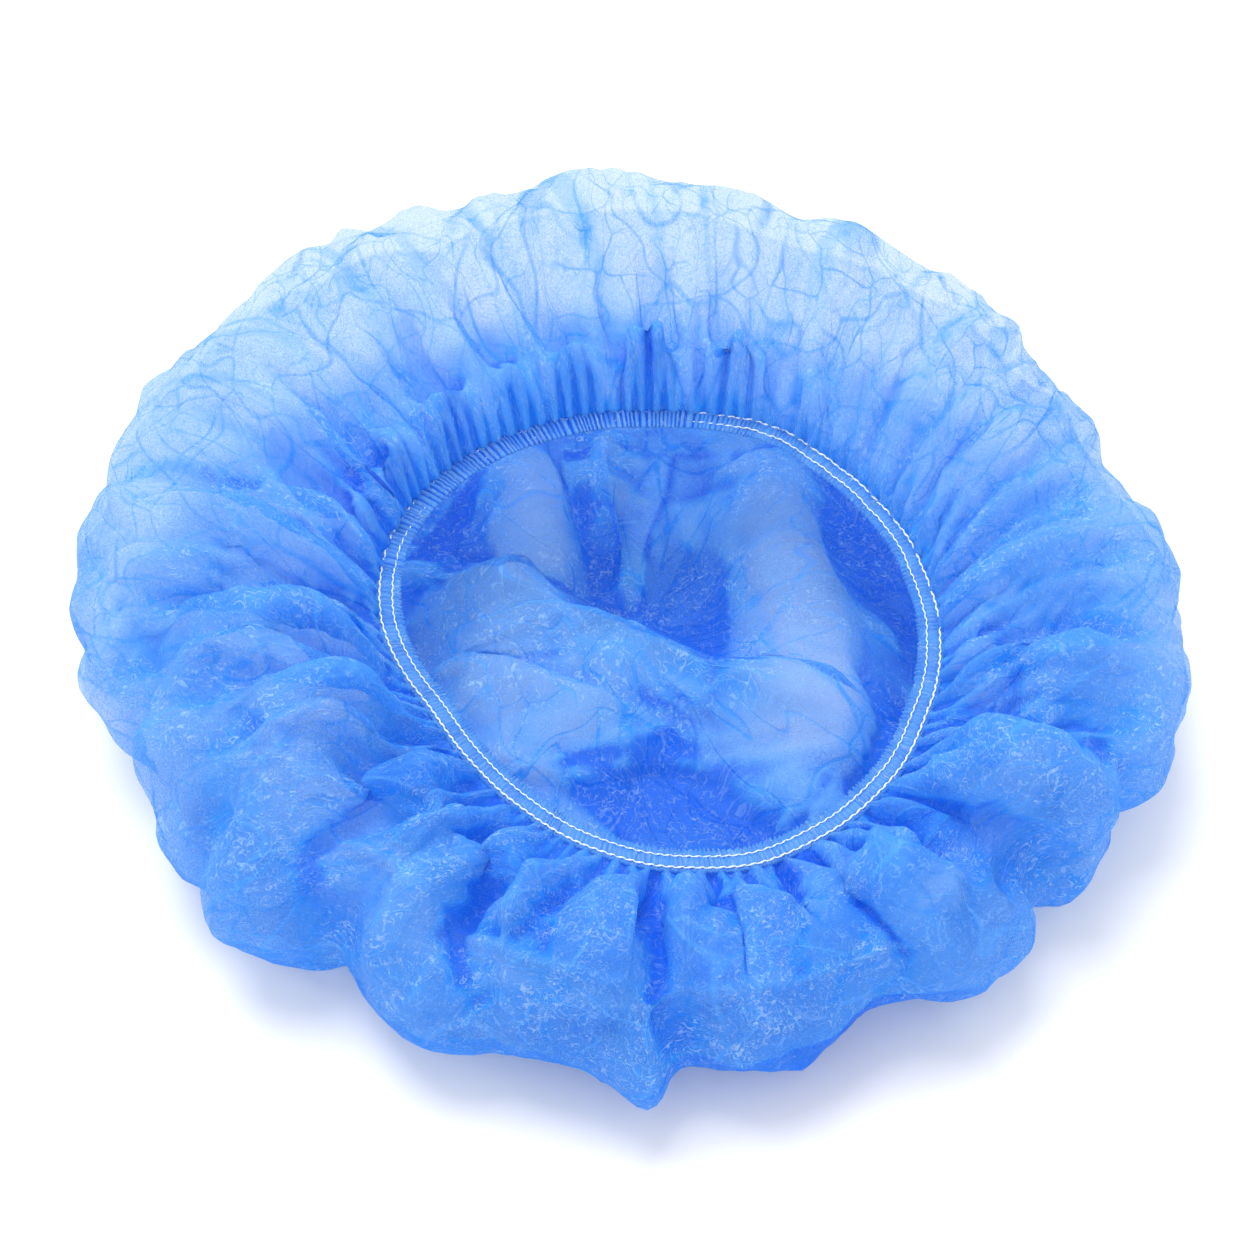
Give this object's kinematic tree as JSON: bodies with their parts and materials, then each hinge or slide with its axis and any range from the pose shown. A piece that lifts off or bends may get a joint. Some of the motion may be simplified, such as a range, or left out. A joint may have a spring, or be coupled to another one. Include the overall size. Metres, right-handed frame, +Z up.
{
  "type": "disposable bouffant cap",
  "caption": "Disposable hairnet of thin blue non-woven cloth, gathered to a stitched elastic opening, lying crown down with its puffed sides spread.",
  "frame": {"origin": "on the surface that the cap lies on, under the middle of its outline", "axes": "+Z up, out of the opening; the opening stands nearer the -Y side, where its rim is lowest; +X to the right seen from there"},
  "size_m": [0.2846, 0.2822, 0.0735],
  "materials": {
    "crown_cloth": "thin translucent spun-bonded polypropylene, crumpled, matt",
    "hem_cloth": "the same cloth, doubled and finely pleated",
    "elastic": "matt covered elastic",
    "thread": "soft white textured thread"
  },
  "bodies": {
    "root": {"crown": "crown_cloth", "hem_casing": "hem_cloth", "elastic_band": "elastic"}
  },
  "joints": []
}
